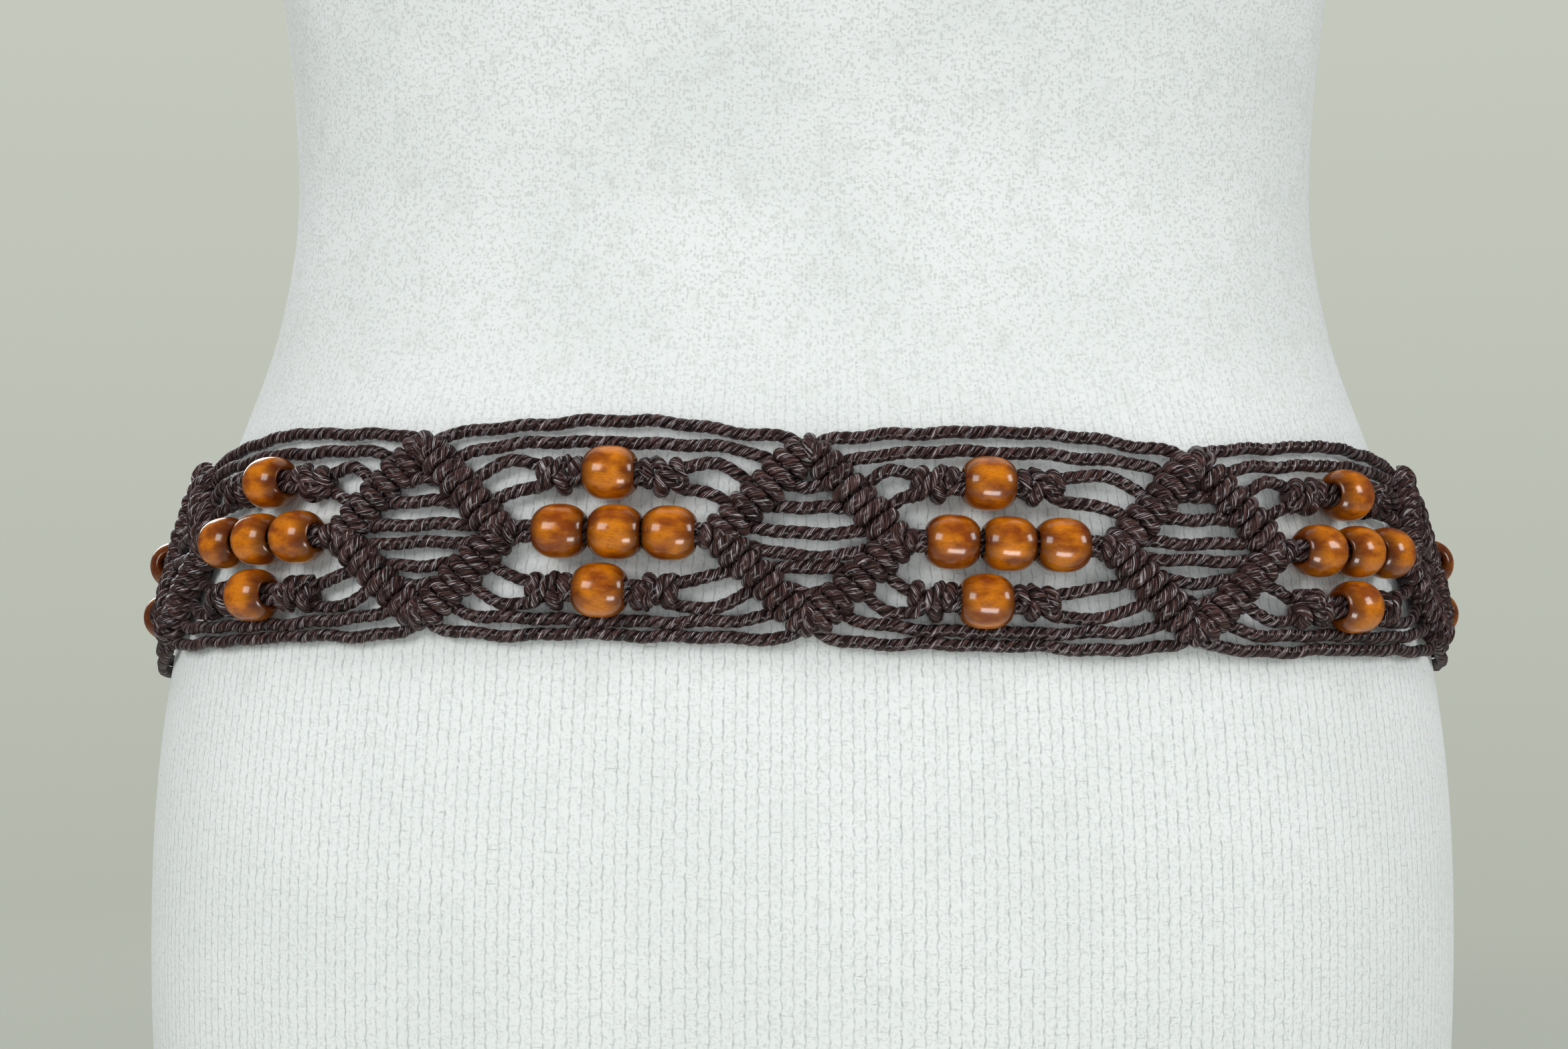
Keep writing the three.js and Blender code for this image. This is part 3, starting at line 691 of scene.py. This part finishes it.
class Finish:
    """A material in the making."""

    def __init__(self, name):
        self.material = bpy.data.materials.new(name)
        self.material.use_nodes = True
        self.tree = self.material.node_tree
        self.tree.nodes.clear()

    def feed(self, socket, value):
        """Links a value to a socket, or sets the socket to a number or a colour."""
        if isinstance(value, Value):
            self.tree.links.new(value.socket, socket)
        else:
            socket.default_value = value

    def node(self, kind, settings=(), out=0, **links):
        """Adds a node. Each input goes by its name, or by i and its number."""
        made = self.tree.nodes.new(kind)
        for key, value in dict(settings).items():
            setattr(made, key, value)
        for key, value in links.items():
            numbered = key[0] == "i" and key[1:].isdigit()
            self.feed(made.inputs[int(key[1:]) if numbered else key], value)
        return Value(self, made.outputs[out])

    def math(self, operation, a, b=0.0, c=0.0):
        return self.node("ShaderNodeMath", {"operation": operation}, i0=a, i1=b, i2=c)

    def attribute(self, name):
        return self.node("ShaderNodeAttribute", {"attribute_name": name}, out="Fac")

    def uv(self):
        both = self.node("ShaderNodeUVMap", {"uv_map": "along"})
        parts = self.tree.nodes.new("ShaderNodeSeparateXYZ")
        self.tree.links.new(both.socket, parts.inputs[0])
        return Value(self, parts.outputs[0]), Value(self, parts.outputs[1])

    def vector(self, x, y, z):
        return self.node("ShaderNodeCombineXYZ", i0=x, i1=y, i2=z)

    def noise(self, at, scale, detail=2.0, roughness=0.5, out="Fac"):
        sockets = {"Vector": at, "Scale": scale, "Detail": detail, "Roughness": roughness}
        return self.node("ShaderNodeTexNoise", out=out, **sockets)

    def place_of(self):
        return self.node("ShaderNodeTexCoord", out="Object")

    def between(self, value, low, high):
        """0 below low, 1 above high, and smooth between."""
        settings = {"interpolation_type": "SMOOTHSTEP"}
        return self.node("ShaderNodeMapRange", settings, i0=value, i1=low, i2=high, i3=0.0, i4=1.0)

    def mix(self, share, a, b):
        made = self.tree.nodes.new("ShaderNodeMix")
        made.data_type = "RGBA"
        for number, value in ((0, share), (6, a), (7, b)):
            self.feed(made.inputs[number], value)
        return Value(self, made.outputs[2])

    def surface(self, **sockets):
        """The finished material. Each input of its shader goes by its name, with _ for a space."""
        shader = self.tree.nodes.new("ShaderNodeBsdfPrincipled")
        for name, value in sockets.items():
            self.feed(shader.inputs[name.replace("_", " ")], value)
        output = self.tree.nodes.new("ShaderNodeOutputMaterial")
        self.tree.links.new(shader.outputs[0], output.inputs[0])
        return self.material

    def bump(self, height, distance, strength=1.0):
        return self.node("ShaderNodeBump", Strength=strength, Distance=distance, Height=height)


def colour(r, g, b):
    """A colour as a picture gives it, from 0 to 255, as light."""
    def linear(x):
        x /= 255
        return x / 12.92 if x <= 0.04045 else ((x + 0.055) / 1.055) ** 2.4

    return (linear(r), linear(g), linear(b), 1.0)


def waxed_cord():
    """Fine yarns that run nearly along the cord, over plies with painted shade in their grooves and painted
    highlights on their crests.
    Marks above 1 are on the turns of knots, which are drawn so tight that their plies hardly show."""
    f = Finish("waxed_cord")
    along, around = f.uv()
    mark = f.attribute("mark")
    tight = f.math("GREATER_THAN", mark, 1.0)
    fold = f.math("ABSOLUTE", f.math("COSINE", around * (PLIES * math.pi)))
    groove = (1 - f.between(fold, 0.0, 0.6)) * (1 - tight * 0.6)
    turn = (around + along * (0.6 / (LAY * MM))) * (2 * math.pi)
    side, face = f.math("COSINE", turn), f.math("SINE", turn)
    yarn = f.noise(f.vector(along * 330.0, side * 3.8, face * 3.8), 1.0, 3.0, 0.62)
    fibre = f.noise(f.vector(along * 700.0, side * 9.0, face * 9.0), 1.0, 2.0)
    fade = f.noise(f.place_of(), 150.0, 3.0)
    # Painted highlights: whitish dashes on the ply crests, where light catches the wax.
    glint_spots = f.noise(f.vector(along * 520.0 + mark * 9, side * 4.4, face * 4.4), 1.0, 1.5)
    painted_glint = f.between(glint_spots, 0.57, 0.68)
    painted_glint = painted_glint * f.between(fold, 0.35, 0.75)
    body = f.mix(f.between(fade, 0.35, 0.65), colour(24, 15, 15), colour(48, 31, 29))
    body = f.mix(f.between(yarn, 0.46, 0.64) * 0.75, body, colour(116, 84, 79))
    body = f.mix((1 - f.between(yarn, 0.3, 0.44)) * 0.8, body, colour(12, 8, 8))
    # Painted shade in the grooves between the plies, less on the tight turns of knots.
    body = f.mix(groove * 0.92, body, colour(9, 6, 7))
    body = f.mix(painted_glint * 0.85, body, colour(206, 200, 204))
    rough = 0.46 - painted_glint * 0.2 + groove * 0.4
    height = yarn * 1.1 + fibre * 0.4 - groove * 0.6
    return f.surface(
        Base_Color=body, Roughness=rough, Normal=f.bump(height, 0.0005, 0.9), Specular_IOR_Level=0.06,
        Coat_Weight=0.32, Coat_Roughness=0.18,
    )


def varnished_wood():
    """Amber wood with fine grain along the hole, with painted shade towards its ends, under clear amber
    varnish.
    """
    f = Finish("varnished_wood")
    around, along = f.uv()
    seed = f.attribute("mark") * 50
    turn = around * (2 * math.pi)
    side, face = f.math("COSINE", turn), f.math("SINE", turn)
    clouds = f.noise(f.vector(along * 170 + seed, side * 1.6, face * 1.6), 1.1, 3.0)
    grain = f.noise(f.vector(along * 620 + seed, side * 13.0, face * 13.0), 1.6, 4.0, 0.7)
    body = f.mix(f.between(clouds, 0.3, 0.66), colour(132, 66, 4), colour(206, 134, 12))
    body = f.mix((1 - f.between(grain, 0.34, 0.52)) * 0.4, body, colour(96, 44, 5))
    # Painted shade: the bead grows darker towards the ends of its hole, where its surface turns away.
    end = f.between(f.math("ABSOLUTE", along), 0.0016, 0.0056)
    body = f.mix(end * 0.85, body, colour(66, 24, 4))
    return f.surface(
        Base_Color=body, Roughness=0.38 + grain * 0.15, Coat_Weight=1.0, Coat_Roughness=0.16, Coat_IOR=1.5,
        Coat_Tint=(1.0, 0.78, 0.46, 1.0), Specular_IOR_Level=0.15, Normal=f.bump(grain, 0.00012, 0.3),
    )


def knit_cover():
    """White knit: fine jersey with small specks, and below the waist upright ribs of long stitches, which lie
    at other heights in each rib, with painted shade between the ribs and at the ends of their stitches."""
    f = Finish("knit_cover")
    along, height = f.uv()
    spot = f.place_of()
    upright = 1 - f.attribute("mark")
    low = (1 - f.between(height, 0.19, 0.25)) * upright
    slack = f.noise(f.vector(along * 20, height * 60, 0.0), 8.0, 2.0)
    waver = f.math("SINE", height * (2 * math.pi / COURSE)) * 0.00012 + (slack - 0.5) * 0.0006
    rib_at = (along + waver) / RIB
    rib = 1 - f.between(f.math("ABSOLUTE", f.math("SINE", rib_at * math.pi)), 0.0, 0.36)
    own = f.math("FRACT", f.math("FLOOR", rib_at) * 0.618)
    end = 1 - f.between(f.math("ABSOLUTE", f.math("SINE", (height / COURSE + own) * math.pi)), 0.0, 0.22)
    weight = f.noise(f.vector(along * 400, height * 700, 1.0), 1.0, 2.0)
    beside = rib * f.between(weight, 0.2, 0.75)
    across = end * f.between(weight, 0.45, 0.8) * 0.6
    shaded_lines = f.math("MAXIMUM", beside, across) * low
    column = f.math("ABSOLUTE", f.math("SINE", along * (math.pi / WALE)))
    speck = f.noise(spot, 1300.0, 1.0)
    fine = (1 - f.between(speck, 0.32, 0.52)) * (1 - column * upright * 0.5)
    patch = f.noise(spot, 190.0, 3.0, 0.6)
    drift = f.noise(spot, 24.0, 3.0)
    body = f.mix(f.between(drift, 0.3, 0.7), colour(218, 222, 220), colour(226, 229, 228))
    body = f.mix(fine * 0.72 * (1 - low * 0.2), body, colour(184, 188, 184))
    body = f.mix((1 - f.between(patch, 0.3, 0.48)) * 0.3 * (1 - low * 0.5), body, colour(196, 199, 192))
    body = f.mix(low * 0.35, body, colour(241, 244, 244))
    # Painted shade in the valleys between the ribs and at the ends of their stitches.
    body = f.mix(shaded_lines * 0.6, body, colour(150, 160, 158))
    bumps = patch * 0.5 - fine * 0.4 - shaded_lines * 0.7
    return f.surface(
        Base_Color=body, Roughness=0.85, Normal=f.bump(bumps, 0.0004, 0.6), Specular_IOR_Level=0.2,
        Sheen_Weight=0.2, Sheen_Roughness=0.4,
    )


def stage_floor():
    """A pale floor that fades out into the background away from the form."""
    f = Finish("stage_floor")
    spot = f.place_of()
    length = f.node("ShaderNodeVectorMath", {"operation": "LENGTH"}, out="Value", i0=spot)
    fade = f.between(length, 0.22, 0.85)
    shader = f.tree.nodes.new("ShaderNodeBsdfPrincipled")
    shader.inputs["Base Color"].default_value = colour(194, 197, 187)
    shader.inputs["Roughness"].default_value = 0.9
    shader.inputs["Specular IOR Level"].default_value = 0.0
    clear = f.tree.nodes.new("ShaderNodeBsdfTransparent")
    mixed = f.tree.nodes.new("ShaderNodeMixShader")
    f.tree.links.new(fade.socket, mixed.inputs[0])
    f.tree.links.new(shader.outputs[0], mixed.inputs[1])
    f.tree.links.new(clear.outputs[0], mixed.inputs[2])
    output = f.tree.nodes.new("ShaderNodeOutputMaterial")
    f.tree.links.new(mixed.outputs[0], output.inputs[0])
    return f.material


CORD_FINISH = waxed_cord()
WOOD_FINISH = varnished_wood()
COVER_FINISH = knit_cover()


# The form


def dress_form():
    """The form's skin on a grid round it and up it. Rings that run inwards close its top and its base, and
    carry the number 1."""
    u = BACK_U * (2 * np.arange(FORM_SIDES) / FORM_SIDES - 1)
    angle = angle_at(u)
    top = FORM[-1, 0]
    z = np.unique(np.concatenate([np.linspace(0, NECK_FROM, 121), np.linspace(NECK_FROM, top, 46)]))
    body = skin(angle[None, :], z[:, None])
    neck, base = body[-1], body[0]

    def inward(ring, share, height):
        """A ring drawn in towards the middle."""
        drawn = ring * share
        drawn[:, 2] = height
        return drawn

    base_rings = [inward(base, share, 0.0) for share in (0.0, 0.5, 0.985)]
    base_ring = inward(base, 0.996, 0.6)
    top_rings = [inward(neck, share, top) for share in (0.93, 0.5, 0.0)]
    top_ring = inward(neck, 0.985, top - 0.9)
    rings = [*base_rings, base_ring, *body[1:-1], top_ring, *top_rings]
    points = np.stack(rings)
    heights = points[:, 0, 2]
    length = np.concatenate([u, [BACK_U]])
    uv = np.stack(np.broadcast_arrays(length[None, :] * MM, heights[:, None] * MM), -1)
    capped = np.zeros(len(rings))
    capped[: len(base_rings)] = 1
    capped[-len(top_rings) :] = 1
    shape = Shape()
    shape.grid(points, False, True, uv, mark=capped[:, None])
    form = shape.made("knit_covered_form", COVER_FINISH)
    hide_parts("dress_form")


dress_form()


# The net, its knots and its beads


def side_name(k):
    """A diamond's or a panel's place, counted from the front one to each side."""
    return "front" if k == 0 else ("left_" if k < 0 else "right_") + str(abs(k))


for k in range(-ENDS, ENDS + 1):
    centre = k * PITCH
    knots, cords = Shape(), Shape()
    diamond(knots, cords, centre)
    for side in (1, -1):
        index = ENDS + k + (side - 1) // 2
        if 0 <= index < len(PANELS):
            half_panel(knots, cords, centre, side, PANELS[index])
        else:
            fan(knots, cords, centre, side)
    name = side_name(k)
    net = cords.made("cords_" + name, CORD_FINISH)
    tied = knots.made("hitches_" + name, CORD_FINISH)
    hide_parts("net_" + name)

for i, panel in enumerate(PANELS):
    centre = (i - ENDS + 0.5) * PITCH + panel["middle"]
    group = side_name(i - ENDS if i < ENDS else i - ENDS + 1)
    spots = {
        "first": (centre - BEADS["first"], 0),
        "middle": (centre, 0),
        "last": (centre + BEADS["last"], 0),
        "upper": (centre + panel["upper"], BEADS["up"]),
        "lower": (centre + panel["lower"], -BEADS["up"]),
    }
    for which, (u, v) in spots.items():
        made = bead(f"wood_{group}_{which}", (u, v, BEAD_W), ACROSS, WOOD_FINISH)
        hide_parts(f"bead_{group}_{which}")

# The closure at the back


def replaced(shape, name, node):
    """Makes a piece of the belt's cord, which stands for a node."""
    thing = shape.made(name, CORD_FINISH)
    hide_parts(node)


for name, side in (("left", -1), ("right", 1)):
    start = ENDS * PITCH + GATHER["start"]
    gathering, tie, tail = Shape(), Shape(), Shape()
    middle = (side * (start + GATHER["long"] / 2), 0, GATHER["w"])
    turns_round(gathering, middle, ACROSS * side, GATHER)
    tie_end(tie, side)
    tassel(tail, side)
    replaced(gathering, "wrapped_" + name, "gathering_" + name)
    replaced(tie, "tie_cords_" + name, "tie_" + name)
    replaced(tail, "tassel_cords_" + name, "tassel_" + name)
bound = Shape()
middle = (BACK_U, BIND["top"] - BIND["long"] / 2, BIND["w"])
turns_round(bound, middle, (0, -1, 0), BIND)
replaced(bound, "wrapped_binding", "binding")

# The stage, the light and the camera

floor_shape = Shape()
side = np.linspace(-2000, 2000, 9)
floor_points = np.stack(np.broadcast_arrays(side[None, :], side[:, None], np.zeros((1, 1))), -1)
floor_shape.grid(floor_points, False, False, floor_points[..., :2] * MM)
floor = floor_shape.made("floor", stage_floor())

# The world looks pale green-grey and darker low down. What it lights the object with is whiter and less than
# that, and what is mirrored in the object is less still
world = bpy.data.worlds.new("pale_room")
bpy.context.scene.world = world
world.use_nodes = True
room = world.node_tree
seen = room.nodes["Background"]
direction = room.nodes.new("ShaderNodeTexCoord")
rise = room.nodes.new("ShaderNodeSeparateXYZ")
wall = room.nodes.new("ShaderNodeValToRGB")
wall.color_ramp.elements[0].position = 0.0
wall.color_ramp.elements[0].color = colour(176, 180, 169)
wall.color_ramp.elements[1].color = colour(196, 200, 189)
lifted = room.nodes.new("ShaderNodeMath")
lifted.operation = "MULTIPLY_ADD"
lifted.inputs[1].default_value = 2.6
lifted.inputs[2].default_value = 0.5
room.links.new(direction.outputs["Generated"], rise.inputs[0])
room.links.new(rise.outputs[2], lifted.inputs[0])
room.links.new(lifted.outputs[0], wall.inputs[0])
room.links.new(wall.outputs[0], seen.inputs[0])
glow = room.nodes.new("ShaderNodeBackground")
glow.inputs[0].default_value = colour(236, 240, 240)
rays = room.nodes.new("ShaderNodeLightPath")
strength = room.nodes.new("ShaderNodeMath")
strength.operation = "MULTIPLY_ADD"
strength.inputs[1].default_value = -0.33
strength.inputs[2].default_value = 0.43
room.links.new(rays.outputs["Is Glossy Ray"], strength.inputs[0])
room.links.new(strength.outputs[0], glow.inputs[1])
either = room.nodes.new("ShaderNodeMixShader")
room.links.new(rays.outputs["Is Camera Ray"], either.inputs[0])
room.links.new(glow.outputs[0], either.inputs[1])
room.links.new(seen.outputs[0], either.inputs[2])
room.links.new(either.outputs[0], room.nodes["World Output"].inputs[0])


AIM = np.array([0.0, -0.1, 0.2])


def softbox(name, place_at, size, power, shows=True, lights=True):
    """A soft rectangle of light, turned to AIM. One that doesn't show leaves no highlight, and one that
    doesn't light leaves nothing else."""
    light = bpy.data.lights.new(name, "AREA")
    light.shape = "RECTANGLE"
    light.size, light.size_y = size
    light.energy = power
    lamp = bpy.data.objects.new(name, light)
    bpy.context.scene.collection.objects.link(lamp)
    lamp.location = place_at
    lamp.visible_camera = False
    lamp.visible_glossy = shows
    lamp.visible_diffuse = lights
    away = unit(np.asarray(place_at, float) - AIM)
    right = unit(np.cross([0, 0, 1.0], away))
    lamp.rotation_euler = Matrix([right, np.cross(away, right), away]).transposed().to_euler()


softbox("window", (-0.78, -1.02, 0.66), (0.66, 0.56), 7.8)
softbox("top", (0.15, -0.85, 1.6), (0.8, 0.5), 5.3, shows=False)
softbox("front", (0.1, -1.0, 0.1), (0.45, 0.5), 1.6, shows=False)
softbox("side", (1.0, -0.42, 0.56), (0.4, 0.4), 4.0)
softbox("low", (0.08, -0.3, 0.02), (0.15, 0.1), 0.5, lights=False)
softbox("behind", (-0.5, 1.5, 0.8), (1.1, 0.8), 12.0)

# The camera, from the places of the beads in the photograph, 2343 pixels wide
CAMERA_AT = (-0.005, -0.6464, 0.18745)
PITCH_UP, YAW, ROLL = 0.0116, 0.0005, 0.0024
FOCAL_PIXELS, PICTURE_WIDTH = 3814.6, 2343
camera_data = bpy.data.cameras.new("camera")
camera_data.sensor_width = 36.0
camera_data.lens = FOCAL_PIXELS / PICTURE_WIDTH * camera_data.sensor_width
camera_data.clip_start = 0.01
camera = bpy.data.objects.new("camera", camera_data)
bpy.context.scene.collection.objects.link(camera)
upright = Matrix.Rotation(-YAW, 4, "Z") @ Matrix.Rotation(math.pi / 2 + PITCH_UP, 4, "X")
camera.matrix_world = Matrix.Translation(CAMERA_AT) @ (upright @ Matrix.Rotation(ROLL, 4, "Z"))
bpy.context.scene.camera = camera
bpy.context.scene.view_settings.view_transform = "Standard"
